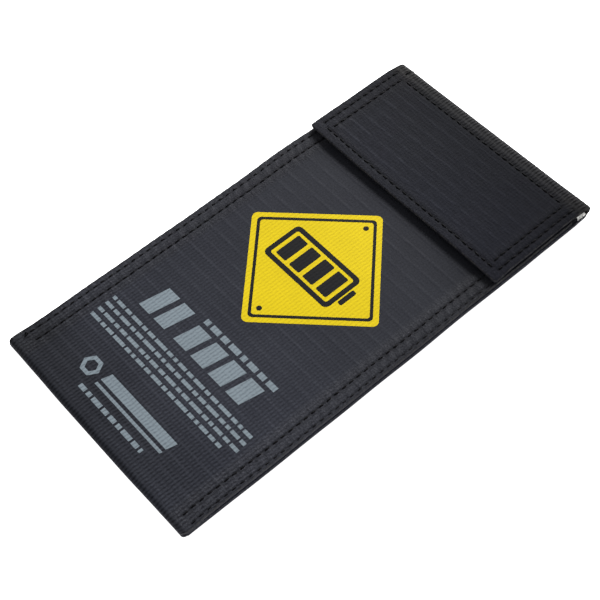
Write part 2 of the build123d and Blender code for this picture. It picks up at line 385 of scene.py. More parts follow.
def cloth_panel(name, panel, s_open, s_edge, material, hems, coarse, corner=None, taper=None):
    """A panel of the outer cloth with its side edges turned under.

    With a corner radius, the end at s_edge is turned under too. hems are the turned widths at the
    sides and the end, and taper(s) is the turned edge's thickness as a share of its usual one.
    """
    turned = corner is not None
    edge_t = THICK[panel]
    e = edge_t / 2
    core = HALF_W - e
    side_hem, end_hem = hems
    way = 1.0 if s_edge > s_open else -1.0
    length = abs(s_edge - s_open) - (e if turned else 0.0)
    xs = graded(-core, core, coarse[0], FINE_X, stitch_columns() + HEM_LINES, 1.0)
    bends = [abs(s - s_open) for s in TIGHT_BENDS.values()]
    lengthwise = graded(0.0, length, coarse[1], FINE_S, bends + [0.0, length], 2.7)
    x, a = np.meshgrid(xs, lengthwise)
    radius = max((corner or 0) - e, 0.3)
    if turned:
        p = (np.abs(x) - (core - radius)) / radius
        q = (a - (length - radius)) / radius
        inside = (p > 0) & (q > 0)
        p, q = np.where(inside, p, 0), np.where(inside, q, 0)
        round_x = core - radius + radius * p * np.sqrt(1 - q * q / 2)
        round_a = length - radius + radius * q * np.sqrt(1 - p * p / 2)
        x = np.where(inside, np.sign(x) * round_x, x)
        a = np.where(inside, round_a, a)
    rows, columns = x.shape
    top = np.column_stack([x.ravel(), a.ravel(), np.zeros(x.size)])
    faces = grid_faces(rows, columns)
    index = np.arange(rows * columns).reshape(rows, columns)
    if turned:
        chains = [np.concatenate([index[:, 0], index[-1, 1:], index[-2::-1, -1]])]
    else:
        chains = [index[:, 0], index[::-1, -1]]
    points, flats, worn, count = [top], [top[:, :2]], [np.zeros(len(top))], len(top)
    for chain in chains:
        edge = top[chain, :2]
        over = np.column_stack([np.abs(edge[:, 0]) - (core - radius), edge[:, 1] - (length - radius)])
        over = np.maximum(over, 0)
        if not turned:
            over[:, 1] = 0
        on_end = (edge[:, 1] > length - 1e-6) & (over[:, 0] <= 1e-6) & turned
        over[on_end] = (0, 1)
        normal = np.column_stack([np.sign(edge[:, 0]) * over[:, 0], over[:, 1]])
        normal /= np.linalg.norm(normal, axis=1, keepdims=True)
        loops = []
        for phi in np.linspace(0, math.pi, TURN_RINGS + 1)[1:]:
            ring = edge + normal * e * math.sin(phi)
            wear = max(0.0, math.sin(2 * phi))
            loops.append((ring, e * (1 - math.cos(phi)), edge + normal * e * phi, wear))
        for d in np.linspace(0, 1, HEM_RINGS + 1)[1:]:
            inset = edge.copy()
            reach = core - d * (side_hem - e)
            inset[:, 0] = np.clip(edge[:, 0], -reach, reach)
            if turned:
                inset[:, 1] = np.minimum(edge[:, 1], length - d * (end_hem - e))
            cut = edge + normal * (e * math.pi + d * max(hems))
            loops.append((inset, edge_t, cut, 0.0))
        previous = chain
        for ring, h, cut, wear in loops:
            points.append(np.column_stack([ring, np.full(len(ring), h)]))
            flats.append(cut)
            worn.append(np.full(len(ring), wear))
            now = np.arange(count, count + len(ring))
            faces += np.stack([previous[:-1], previous[1:], now[1:], now[:-1]], axis=1).tolist()
            previous, count = now, count + len(ring)
    points, flats, worn = np.concatenate(points), np.concatenate(flats), np.concatenate(worn)
    x, s, h = points[:, 0], s_open + way * points[:, 1], points[:, 2]
    if taper:
        share = taper(s)
        rim = np.abs(x) > core
        x = np.where(rim, np.sign(x) * (HALF_W - (HALF_W - np.abs(x)) * share), x)
        h = h * share
    flats = np.column_stack([flats[:, 0], s_open + way * flats[:, 1]])
    if way > 0:
        faces = [face[::-1] for face in faces]
    obj = make(name, place(panel, x, s, h), faces, material, flats)
    y = {"front": MOUTH_Y - s, "back": BOTTOM_Y + (s - S_BACK), "flap": FOLD_Y - (s - S_FLAP)}[panel]
    # painted shade for the grooves along the stitch rows, darkened in the material
    sewn = np.where(h == 0, groove(x, y, ROWS_ON[panel], 1.0, 0.6), 0.0)
    for label, values in (("worn", worn), ("sewn", sewn)):
        obj.data.attributes.new(label, "FLOAT", "POINT").data.foreach_set("value", values)
    merge_close(obj)
    return thicken(obj, CLOTH)


def layer(name, panel, xs, stations, h, thickness, material):
    """A plain sheet within or on the strip, with its outer face h in from the strip's own."""
    x, s = np.meshgrid(xs, stations)
    points = place(panel, x, s, np.full(x.shape, float(h)))
    faces = grid_faces(*x.shape, flip=True)
    obj = make(name, points.reshape(-1, 3), faces, material, np.column_stack([x.ravel(), s.ravel()]))
    return thicken(obj, thickness)


# ---- thread ----
THREAD_R = 0.26
STITCH_SPAN = 2.9      # length of one stitch on the face
RINGS, SIDES = 11, 8


def tube_faces(rings, sides, start):
    faces = []
    for i in range(rings - 1):
        for j in range(sides):
            a, b = start + i * sides + j, start + i * sides + (j + 1) % sides
            faces.append([a, b, b + sides, a + sides])
    faces.append([start + j for j in range(sides)][::-1])
    faces.append([start + (rings - 1) * sides + j for j in range(sides)])
    return faces


def stitch_tube(x, s, lengthwise, number):
    """One stitch on the flat strip: a two-ply thread that rises from one needle hole to the next."""
    t = np.linspace(-1, 1, RINGS)
    rise = 0.12 * (1 - np.abs(t) ** 2.4) - 0.46 * np.abs(t) ** 6
    angle = np.linspace(0, 2 * math.pi, SIDES, endpoint=False)
    along, around = np.meshgrid(t, angle, indexing="ij")
    ply = 1 + 0.12 * np.cos(2 * (around - 3.6 * along + number))
    radius = THREAD_R * ply * np.where(np.abs(along) > 0.97, 0.5, 1.0)
    lean = 0.10 * math.sin(number * 5.1)
    across = radius * np.cos(around) * 1.12 + lean * along
    length = STITCH_SPAN / 2 * (1 + 0.05 * math.sin(number * 3.3))
    up = rise[:, None] + radius * np.sin(around) * 0.8
    if lengthwise:
        px, ps = x + across, s + length * along
    else:
        px, ps = x + length * along, s + across
    return np.stack([px, ps, up], axis=-1).reshape(-1, 3)


def thread(name, runs):
    """The stitches of one seam.

    Each run is (panel, rows, s_of_y, base, side): base is their depth in the stack, and side is 1
    for thread on the outer face and -1 for thread on the inner one.
    """
    points, faces, start = [], [], 0
    for panel, rows, s_of_y, base, side in runs:
        for lengthwise, fixed, at in rows:
            for moving in at:
                x, y = (fixed, moving) if lengthwise else (moving, fixed)
                local = stitch_tube(x, s_of_y(y), lengthwise, 0.77 * len(points))
                points.append(place(panel, local[:, 0], local[:, 1], base - side * local[:, 2]))
                faces += tube_faces(RINGS, SIDES, start)
                start += len(local)
    return make(name, np.concatenate(points), faces, THREAD_LOOK)


def front_s(y):
    return MOUTH_Y - y


def back_s(y):
    return S_BACK + (y - BOTTOM_Y)


def flap_s(y):
    return S_FLAP + (FOLD_Y - y)


# ---- small loose geometry ----
rng = np.random.default_rng(11)


def tube_along(path, radius, sides=5):
    """A closed tube along a path, as points and faces."""
    path = np.asarray(path, float)
    tangent = np.gradient(path, axis=0)
    tangent /= np.linalg.norm(tangent, axis=1, keepdims=True)
    side = np.cross(tangent[0], (0.3, 0.2, 1.0))
    points = []
    for at, heading in zip(path, tangent):
        side = side - heading * side.dot(heading)
        side /= np.linalg.norm(side)
        other = np.cross(heading, side)
        for angle in np.linspace(0, 2 * math.pi, sides, endpoint=False):
            points.append(at + radius * (math.cos(angle) * side + math.sin(angle) * other))
    return np.array(points), tube_faces(len(path), sides, 0)


def join_parts(parts):
    """Several (points, faces) as one."""
    points, faces, start = [], [], 0
    for some, their_faces in parts:
        points.append(some)
        faces += [[i + start for i in face] for face in their_faces]
        start += len(some)
    return np.concatenate(points), faces


def scatter(name, panel, template, spots, base, material, upright=False):
    """Copies a small template, in strip coordinates with its height outwards, onto many spots."""
    shape, shape_faces = template
    count = len(spots)
    turn = rng.normal(0, 0.35, count) if upright else rng.uniform(0, 2 * math.pi, count)
    size = rng.uniform(0.82, 1.12, count)
    lean = rng.normal(0, 0.16, (count, 2))
    cos, sin = np.cos(turn)[:, None], np.sin(turn)[:, None]
    px, ps, up = shape.T[:, None]
    x = spots[:, 0:1] + size[:, None] * (cos * px - sin * ps) + lean[:, 0:1] * up
    s = spots[:, 1:2] + size[:, None] * (sin * px + cos * ps) + lean[:, 1:2] * up
    h = base[0] + base[1] * size[:, None] * up
    points = place(panel, x, s, h).reshape(-1, 3)
    faces = (np.array(shape_faces)[None] + (np.arange(count) * len(shape))[:, None, None])
    return make(name, points, faces.reshape(-1, 4).tolist(), material)


def spots_in(x_half, s_low, s_high, step_x, step_s, jitter):
    x, s = np.meshgrid(np.arange(-x_half, x_half, step_x), np.arange(s_low, s_high, step_s))
    x[1::2] += step_x / 2
    spots = np.column_stack([x.ravel(), s.ravel()])
    return spots + rng.normal(0, jitter, spots.shape)


# ---- print ----
INK = 0.028            # thickness of the printed film
FIRST_FILM, SECOND_FILM = -0.030, -0.056   # the films' outer faces, over the cloth
CUT_EVERY = 0.0023     # its shapes are cut up this finely, in metres, to follow the cloth


def printed(name, node, h, material):
    """The frame's printed shapes, laid on the front's real surface."""
    mesh = bmesh.new()
    mesh.from_mesh(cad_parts[node].data)
    mesh.normal_update()
    hidden = [f for f in mesh.faces if f.normal.z < 0.9]
    bmesh.ops.delete(mesh, geom=hidden, context="FACES")
    bmesh.ops.remove_doubles(mesh, verts=mesh.verts, dist=1e-7)
    spots = [v.co[:2] for v in mesh.verts]
    low, high = np.min(spots, axis=0), np.max(spots, axis=0)
    for axis, normal in enumerate(((1, 0, 0), (0, 1, 0))):
        for at in np.arange(low[axis] + 0.002, high[axis], CUT_EVERY):
            everything = mesh.verts[:] + mesh.edges[:] + mesh.faces[:]
            point = tuple(at * n for n in normal)
            bmesh.ops.bisect_plane(mesh, geom=everything, plane_co=point, plane_no=normal)
    mesh.verts.index_update()
    flat = np.array([v.co[:] for v in mesh.verts]) / MM
    faces = [[v.index for v in f.verts] for f in mesh.faces]
    mesh.free()
    s = front_s(flat[:, 1])
    obj = make(name, place("front", flat[:, 0], s, np.full(len(s), h)), faces, material,
               np.column_stack([flat[:, 0], s]), smooth_faces=False)
    return thicken(obj, INK)


# ---- materials ----
class Value:
    """What a shader node works out, with plain arithmetic for numbers."""

    def __init__(self, graph, socket):
        self.graph, self.socket = graph, socket

    def __add__(self, other):
        return self.graph.math("ADD", self, other)

    def __sub__(self, other):
        return self.graph.math("SUBTRACT", self, other)

    def __mul__(self, other):
        return self.graph.math("MULTIPLY", self, other)

    def __truediv__(self, other):
        return self.graph.math("DIVIDE", self, other)

    def __abs__(self):
        return self.graph.math("ABSOLUTE", self)


class Graph:
    """A new material or world, with short ways to add its shader nodes."""

    def __init__(self, name, world=False):
        self.owner = (bpy.data.worlds if world else bpy.data.materials).new(name)
        self.owner.use_nodes = True
        self.tree = self.owner.node_tree
        self.shader = self.tree.nodes["Background" if world else "Principled BSDF"]

    def node(self, kind, inputs=None, output=0, **settings):
        """Adds a node and gives one of its outputs."""
        node = self.tree.nodes.new(kind)
        for key, value in settings.items():
            setattr(node, key, value)
        for socket, value in (inputs or {}).items():
            self.feed(node.inputs[socket], value)
        return Value(self, node.outputs[output])

    def feed(self, socket, value):
        if isinstance(value, Value):
            self.tree.links.new(value.socket, socket)
        else:
            socket.default_value = value

    def math(self, operation, first, second=0.0):
        return self.node("ShaderNodeMath", {0: first, 1: second}, operation=operation)

    def sine(self, value):
        return self.math("SINE", value)

    def larger(self, first, second):
        return self.math("MAXIMUM", first, second)

    def cloth(self):
        return self.node("ShaderNodeUVMap", uv_map="cloth")

    def split(self, vector):
        """The first two parts of a vector."""
        return [self.node("ShaderNodeSeparateXYZ", {0: vector}, axis) for axis in "XY"]

    def attribute(self, name):
        return self.node("ShaderNodeAttribute", None, "Fac", attribute_name=name)

    def position(self):
        return self.node("ShaderNodeTexCoord", None, "Object")

    def noise(self, vector, scale, detail=3.0, rough=0.55):
        inputs = {"Vector": vector, "Scale": scale, "Detail": detail, "Roughness": rough}
        return self.node("ShaderNodeTexNoise", inputs, "Fac")

    def between(self, factor, low, high, start=0.0, end=1.0, kind="LINEAR"):
        """A value or a colour that goes from low to high as factor goes from start to end."""
        if isinstance(low, tuple):
            node = self.tree.nodes.new("ShaderNodeValToRGB")
            self.feed(node.inputs["Fac"], factor)
            for stop, at, colour in zip(node.color_ramp.elements, (start, end), (low, high)):
                stop.position, stop.color = at, colour + (1,)
            return Value(self, node.outputs["Color"])
        inputs = {"Value": factor, "From Min": start, "From Max": end, "To Min": low, "To Max": high}
        return self.node("ShaderNodeMapRange", inputs, "Result", interpolation_type=kind)

    def ramp(self, place_on_cloth, start, end, low=0.0, high=1.0):
        """From low to high between two places on the flat cloth, in millimetres."""
        return self.between(place_on_cloth, low, high, start * MM, end * MM)

    def blend(self, factor, first, second, mode="MIX"):
        node = self.tree.nodes.new("ShaderNodeMix")
        node.data_type, node.blend_type = "RGBA", mode
        self.feed(node.inputs["Factor"], factor)
        colours = [i for i in node.inputs if i.type == "RGBA"]
        for socket, value in zip(colours, (first, second)):
            self.feed(socket, value + (1,) if isinstance(value, tuple) else value)
        return Value(self, [o for o in node.outputs if o.type == "RGBA"][0])

    def mottled(self, noise, start, end, dark, light):
        return self.blend(self.between(noise, 0.0, 1.0, start, end), (dark,) * 3, (light,) * 3)

    def tinted(self, base, tints):
        """The base colour multiplied by each tint, where its mask is."""
        for mask, tint in tints:
            base = self.blend(mask, base, tint, "MULTIPLY")
        return base

    def set(self, **inputs):
        for socket, value in inputs.items():
            self.feed(self.shader.inputs[socket.replace("_", " ")], value)

    def done(self, base, rough, specular, height, depth, strength):
        """The material with its colour, its gloss and its relief, depth in metres."""
        bump = {"Height": height, "Distance": depth, "Strength": strength}
        self.set(Base_Color=base, Roughness=rough, Specular_IOR_Level=specular,
                 Normal=self.node("ShaderNodeBump", bump, "Normal"))
        return self.owner


RIB = 0.00146          # from rib to rib, metres
PICK = 0.0027          # the repeat of its slanted crossing threads
BAND = 0.0056          # from one of the cloth's faint crossing bands to the next


def weave(graph, rib=RIB, pick=PICK, wander=0.00024):
    """The height of a ribbed twill seen through its coating, from 0 to 1."""
    flat = graph.cloth()
    across, along = graph.split(flat)
    u = across + graph.between(graph.noise(flat, 360.0), -wander, wander, 0.25, 0.75)
    v = along + graph.between(graph.noise(flat, 420.0), -wander * 1.6, wander * 1.6, 0.25, 0.75)
    ribs = abs(graph.sine(u * (math.pi / rib)))
    twill = graph.sine((u / rib + v / pick) * (2 * math.pi))
    picks = graph.sine(v * (2 * math.pi / (0.65 * pick)))
    return flat, ribs * 0.64 + (twill * 0.10 + picks * 0.07 + 0.10)


def cloth_regions(graph, across, along):
    """Where a point of the cloth lies: on the flap, the front, the top fold or a pinched edge."""
    ramp = graph.ramp
    on_flap = ramp(along, S_SPLIT, S_SPLIT + 9)
    on_front = ramp(along, FRONT_LEN, S_BACK, 1.0, 0.0)
    round_fold = ramp(along, S_FOLD - 1, S_FOLD + 3) - ramp(along, S_FLAP + 1, S_FLAP + 4)
    by_side, by_end = ramp(abs(across), 40.5, 43.0), ramp(along, S_END - 7.0, S_END - 5.0)
    return on_flap, on_front, round_fold, graph.larger(by_side, by_end)


def front_tints(graph, across, along, on_front):
    """The front is paler and bluer downwards, a painted reflection, darker at its lower left, and darker
    beside the flap, a painted shadow of the flap.
    """
    ramp = graph.ramp
    low_left = ramp(along, FRONT_LEN - 28, FRONT_LEN - 10) * ramp(across, -36, HALF_W, 1.0, 0.2)
    from_middle = abs(along - (FRONT_LEN - 52) * MM)
    low_right = ramp(from_middle, 5, 40, 1.0, 0.0) * ramp(across, -25, 15)
    # painted shadow of the flap on the front, deepest towards the right
    painted_flap_shadow = ramp(along, 42, 62, 1.0, 0.0) * (ramp(across, 0, 44, 0.15, 1.0) * on_front)
    # the first tint, paler and bluer downwards, is a painted reflection
    return [(ramp(along, 10.0, FRONT_LEN - 30), (1.36, 1.38, 1.46)),
            (low_left, (0.70, 0.70, 0.67)),
            (low_right, (1.12, 1.12, 1.13)),
            (painted_flap_shadow, (0.60, 0.60, 0.61))]


def fold_tints(graph, across, round_fold):
    """The top fold is browner; painted shade darkens it, most towards its right end, and leaves its far
    left end lighter as a painted highlight.
    """
    return [(round_fold, (1.20, 1.12, 0.94)),
            (round_fold * graph.ramp(across, -47, -38), (0.88, 0.88, 0.88)),
            (round_fold * graph.ramp(across, 4, HALF_W), (0.70, 0.70, 0.72))]


def coated_cloth():
    """Ribbed cloth under a thin black coating: pressed smooth on the flap, worn along its edges, with
    painted shade, shadows, a reflection and highlights in its colour.
    """
    graph = Graph("coated_cloth")
    ramp, noise = graph.ramp, graph.noise
    flat, height = weave(graph)
    across, along = graph.split(flat)
    on_flap, on_front, round_fold, pinched = cloth_regions(graph, across, along)
    off_flap = graph.math("SUBTRACT", 1.0, on_flap)
    to_right = ramp(across, -HALF_W, HALF_W)

    # crossing bands, speckle, grain, and streaks drawn out across
    band = graph.math("POWER", abs(graph.sine(along * (math.pi / BAND))), 14.0)
    band = band * graph.between(noise(flat, 150.0, 3.0), 0.25, 1.0, 0.35, 0.60)
    patches = noise(flat, 46.0, 4.0)
    fine = noise(flat, 2600.0, 2.0)
    grain = noise(flat, 1300.0, 4.0, 0.62)
    squeeze = {0: flat, 1: (0.28, 1.0, 1.0)}
    drawn = graph.node("ShaderNodeVectorMath", squeeze, operation="MULTIPLY")
    streaks = noise(drawn, 1100.0, 4.0, 0.62)

    # its height
    ribbing = ramp(along, 72.0, FRONT_LEN, 0.10, 0.92) - ramp(along, S_FLAP - 1, S_FLAP + 4, 0.0, 0.64)
    ribbing = ribbing + round_fold * 0.75
    relief = band * 0.38 + fine * 0.10
    relief = relief + grain * (pinched * 1.4 + 0.15) + streaks * (on_flap * 0.75 + 0.30)
    relief = height * ribbing + relief

    # its colour: the ribs, then the front, the flap and the fold
    shown = (height + band * 0.16 - 0.5) * ribbing + 0.5
    base = graph.between(shown, (0.0100, 0.0104, 0.0128), (0.0270, 0.0282, 0.0342), 0.10, 0.95)
    uneven = graph.blend(graph.between(patches, 0.0, 1.0, 0.3, 0.7), (0.90, 0.90, 0.91), (1.09, 1.09, 1.09))
    base = graph.tinted(base, [(1.0, uneven)] + front_tints(graph, across, along, on_front))
    # painted shade: the flap's colour darkens towards its right, where it droops away from the light
    shade = on_flap * graph.between(to_right, 0.48, 0.79)
    base = graph.blend(shade, base, (0.0024, 0.0026, 0.0049))
    lined = graph.larger(on_flap, on_front * 0.28) * graph.between(to_right, 1.0, 0.25)
    base = graph.tinted(base, [(on_flap, ramp(along, S_FLAP + 7, S_END - 8, 0.79, 1.32)),
                               (lined * band, (1.50, 1.50, 1.46))])
    base = graph.tinted(base, fold_tints(graph, across, round_fold))

    # pinched edges, specks, and painted shade in the grooves along the seams
    specks = graph.mottled(grain * off_flap + streaks * on_flap, 0.38, 0.62, 0.85, 1.15)
    bright_specks = pinched * graph.between(grain, 0.0, 1.0, 0.56, 0.68)
    base = graph.tinted(base, [(pinched, (1.10, 1.08, 1.03)), (1.0, specks),
                               (bright_specks, (1.65, 1.58, 1.50))])
    # painted shade in the grooves along the seams
    base = graph.blend(graph.attribute("sewn") * 0.62, base, (0.002, 0.002, 0.002))

    # wear on the turned edges, and a painted highlight on the crest of the top fold near its left end
    from_ridge = abs(along - (S_SPLIT + 1.6) * MM)
    ridge_highlight = ramp(from_ridge, 0.0, 1.0, 1.0, 0.0) * ramp(across, -HALF_W, -20.0, 1.0, 0.0)
    # worn turned edges, mixed with the painted highlight on the fold's crest
    wear = graph.larger(graph.attribute("worn"), ridge_highlight) * noise(flat, 700.0)
    base = graph.blend(graph.between(wear, 0.0, 0.62, 0.28, 0.56), base, (0.052, 0.050, 0.048))

    rough = graph.between(patches + fine * 0.4, 0.50, 0.60, 0.4, 0.9) + shade * 0.22
    return graph.done(base, rough, 0.025, relief, 0.00018, 0.85)


def ink(name, colour, shade):
    """A printed film that the weave still shows through, worn thin on its ribs."""
    graph = Graph(name)
    flat, height = weave(graph)
    speckle = graph.noise(flat, 1500.0, 3.0)
    patches = graph.noise(flat, 60.0, 3.0)
    base = graph.between(height * 0.5 + speckle * 0.5, shade, colour, 0.22, 0.62)
    base = graph.tinted(base, [(1.0, graph.mottled(patches, 0.3, 0.7, 0.95, 1.03))])
    rough = graph.between(speckle, 0.48, 0.62, 0.3, 0.7)
    return graph.done(base, rough, 0.04, height, 0.00006, 0.5)


def glass_weave():
    graph = Graph("glass_lining")
    flat, height = weave(graph, 0.0009, 0.0018, 0.0003)
    fibre = graph.noise(flat, 3800.0, 2.0)
    mixed = height * 0.7 + fibre * 0.3
    base = graph.between(mixed, (0.36, 0.36, 0.345), (0.70, 0.70, 0.68), 0.15, 0.8)
    return graph.done(base, graph.between(fibre, 0.45, 0.7, 0.3, 0.7), 0.15, mixed, 0.00022, 0.8)


def fibre(name, dark, light, scale=3000.0, rough=(0.5, 0.75)):
    """Thread, pile and loose fibres, from the place on the object."""
    graph = Graph(name)
    strand = graph.noise(graph.position(), scale, 3.0)
    base = graph.between(strand, dark, light, 0.3, 0.7)
    return graph.done(base, graph.between(strand, *rough, 0.3, 0.7), 0.03, strand, 0.00006, 0.6)


def tape_ground(name, dark, light):
    """The close weave that a tape's pile stands on."""
    graph = Graph(name)
    height = weave(graph, 0.0008, 0.0011, 0.0002)[1]
    base = graph.between(height, dark, light, 0.1, 0.9)
    return graph.done(base, graph.between(height, 0.75, 0.55, 0.1, 0.9), 0.04, height, 0.00018, 0.8)


CLOTH_LOOK = coated_cloth()
GLASS_LOOK = glass_weave()
THREAD_LOOK = fibre("thread", (0.0015, 0.0015, 0.0018), (0.0050, 0.0050, 0.0058))
LOOP_LOOK = fibre("loop_pile", (0.008, 0.008, 0.009), (0.026, 0.026, 0.029), 1500.0, (0.6, 0.85))
HOOK_LOOK = fibre("hook_pile", (0.009, 0.009, 0.010), (0.024, 0.024, 0.027), 1500.0, (0.3, 0.5))
GROUND_LOOK = tape_ground("tape_ground", (0.006, 0.006, 0.007), (0.022, 0.022, 0.025))
FIBRE_LOOK = fibre("glass_fibre", (0.60, 0.60, 0.58), (0.88, 0.88, 0.86), 2500.0, (0.35, 0.5))
YELLOW = ink("yellow_ink", (0.600, 0.455, 0.006), (0.480, 0.355, 0.005))
BLACK = ink("black_ink", (0.0100, 0.0100, 0.0110), (0.0050, 0.0050, 0.0060))
GREY = ink("grey_ink", (0.185, 0.222, 0.250), (0.108, 0.131, 0.149))

# ---- the pieces ----
FOLD_START, FOLD_END = (0, FOLD_Y * MM, 0), (0, FOLD_Y * MM, FLAP_TOP * MM)
FOLD_MIDDLE = (0, HALF_L * MM, FOLD_R * MM)


def finish_piece(obj, nodes=(), body="pouch"):
    """Parents a piece to the empty of its body and hides the frame's nodes that it replaces. body names the
    body; for back fold or flap fold the piece's place is only baked into its mesh.
    """
    if body == "back fold":
        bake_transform(obj)
        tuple(FOLD_START)
    elif body == "flap fold":
        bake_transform(obj)
        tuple(FOLD_END)
    else:
        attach(obj, body)
    if nodes:
        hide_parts(*nodes)
    return obj


def back_taper(s):
    """The turned edges thin towards the top fold, where the stack is pressed tight."""
    return 1 - (1 - FLAP_T / SEAM_T) * smooth((s - (S_FOLD - 16)) / 15)


front = finish_piece(
    cloth_panel("front_cloth", "front", S_BACK, 0.0, CLOTH_LOOK, (SEAM, MOUTH_HEM), (1.7, 0.9), 1.4),
    ["front_panel", "bottom_fold", "mouth_hem", "left_front_hem", "right_front_hem"])
back = finish_piece(
    cloth_panel("back_cloth", "back", S_BACK, S_SPLIT, CLOTH_LOOK, (SEAM, 0), (1.7, 0.9), None, back_taper),
    ["back_panel", "fold_cloth", "left_back_hem", "right_back_hem"], "back fold")
flap = finish_piece(
    cloth_panel("flap_cloth", "flap", S_SPLIT, S_END, CLOTH_LOOK, (FLAP_HEM, FLAP_HEM), (0.8, 0.7), 1.2),
    ["flap_panel", "fold_cloth", "flap_front_hem", "flap_left_hem", "flap_right_hem"],
    "flap fold")

LINING_GAP = 0.05      # air between the cloth and its lining
LINING_INSET = 1.6     # the lining stops this short of the mouth and of the flap's end
lining_x = np.linspace(-(HALF_W - 1.3), HALF_W - 1.3, 60)


def stations(start, end, step, bends=()):
    return graded(start, end, step, 0.4, list(bends), 3.0)


def lining(panel, start, end, nodes, body="pouch"):
    at = stations(start, end, 2.0, [TIGHT_BENDS[panel]])
    sheet = layer(f"{panel}_lining_sheet", panel, lining_x, at, CLOTH + LINING_GAP, LINING, GLASS_LOOK)
    return finish_piece(sheet, nodes, body)


front_lining = lining("front", LINING_INSET, S_BACK, ["front_lining", "bottom_fold_lining"])
back_lining = lining("back", S_BACK, S_SPLIT, ["back_lining", "fold_lining"], "back fold")
flap_lining = lining("flap", S_SPLIT, S_END - LINING_INSET, ["flap_lining", "fold_lining"], "flap fold")

# tapes: a woven ground, its pile, and the thread that holds it
tape_x = np.linspace(hook_low[0], hook_high[0], 70)
TAPE_BASE = 0.4        # thickness of a tape's ground
PILE_HALF = hook_high[0] - 2.5
SELVAGE = 2.6          # the tape's bare edge
loop_ends = front_s(loop_high[1]), front_s(loop_low[1])
hook_ends = flap_s(hook_high[1]), flap_s(hook_low[1])
UNDER_FLAP = CLOTH + LINING_GAP + LINING
loop_ground = finish_piece(
    layer("loop_tape_ground", "front", tape_x, stations(*loop_ends, 1.5), -TAPE_BASE, TAPE_BASE - 0.01,
          GROUND_LOOK), ["loop_tape"])
hook_ground = finish_piece(
    layer("hook_tape_ground", "flap", tape_x, stations(*hook_ends, 1.5), UNDER_FLAP, TAPE_BASE,
          GROUND_LOOK), ["hook_tape"], "flap")
arch = np.linspace(0, math.pi, 6)
loop_path = np.column_stack([0.30 * np.cos(arch), 0.05 * np.sin(2 * arch), 0.36 * np.sin(arch) - 0.02])
hook_path = np.array([(0, 0, -0.03), (0, 0, 0.16), (0, 0.05, 0.26), (0, 0.16, 0.29), (0, 0.23, 0.20)])


def open_tube(path, radius, sides):
    points, faces = tube_along(path, radius, sides)
    return points, faces[:-2]


loop_spots = spots_in(PILE_HALF, loop_ends[0] + SELVAGE, loop_ends[1] - SELVAGE, 1.15, 0.95, 0.12)
loop_pile = finish_piece(
    scatter("loop_pile", "front", open_tube(loop_path, 0.07, 4), loop_spots, (-TAPE_BASE, -1.0), LOOP_LOOK))
hook_spots = spots_in(PILE_HALF, hook_ends[0] + SELVAGE, hook_ends[1] - SELVAGE, 1.3, 1.0, 0.03)
hook_pile = finish_piece(
    scatter("hook_pile", "flap", open_tube(hook_path, 0.075, 4), hook_spots,
            (UNDER_FLAP + TAPE_BASE, 1.0), HOOK_LOOK, upright=True), (), "flap")


# seams
def sew(name, runs, nodes=(), body="pouch"):
    return finish_piece(thread(name, runs), nodes, body)


for node, rows in SIDE_ROWS.items():
    runs = [("front", rows, front_s, 0.05, 1), ("back", rows, back_s, 0.13, 1)]
    sew(node.replace("stitching", "thread"), runs, [node])
sew("mouth_thread", [("front", MOUTH_ROWS, front_s, 0.0, 1)], ["mouth_stitching"])
loop_run = ("front", LOOP_ROWS, front_s, -TAPE_BASE, 1)
loop_thread = sew("loop_tape_thread", [loop_run], ["loop_tape_stitching"])
for node, rows in FLAP_ROWS.items():
    on_tape = [(lengthwise, fixed, at) for lengthwise, fixed, at in rows
               if (abs(fixed) < hook_high[0] if lengthwise else fixed > hook_low[1])]
    runs = [("flap", rows, flap_s, 0.0, 1), ("flap", on_tape, flap_s, UNDER_FLAP + TAPE_BASE, -1)]
    sew(node.replace("stitching", "thread"), runs, [node], "flap")

# a seam that runs on over the top fold, on the left
over_fold = [(True, -46.2, [2.0, 5.6, 9.2])]
sew("fold_thread", [("flap", over_fold, lambda t: S_FOLD + t, 0.0, 1)], (), "flap fold")


def knot(name, panel, x, s, size, tail):
    """A small thread knot with a clipped tail, at one end of a seam."""
    t = np.linspace(0, 2 * math.pi, 42)
    curl = np.column_stack([np.sin(t) + 2 * np.sin(2 * t), np.cos(t) - 2 * np.cos(2 * t), -np.sin(3 * t)])
    curl = curl * (size / 3.0, size / 3.0, size / 3.6) + (0, 0, size * 0.25)
    end = np.linspace(0, 1, 12)[:, None]
    loose = np.array([[0, 0, 0.3 * size]]) + end * np.array([tail]) + np.sin(end * 3) * (0.2, -0.1, 0.1)
    points, faces = join_parts([tube_along(curl, 0.24), tube_along(loose, 0.2)])
    placed = place(panel, x + points[:, 0], s + points[:, 1], -points[:, 2])
    return finish_piece(make(name, placed, faces, THREAD_LOOK))


outer_row = SIDE_ROWS["left_outer_stitching"][0]
knot("left_seam_knot", "front", outer_row[1], front_s(outer_row[2][0] - 2.4), 0.5, (0.9, 1.6, 0.1))

# the glass-fibre lining shows as a frayed sliver at the right end of the top fold
SLIVER_Y, SLIVER_LEN, SLIVER_RISE = FOLD_Y - 3.6, 3.9, 0.95


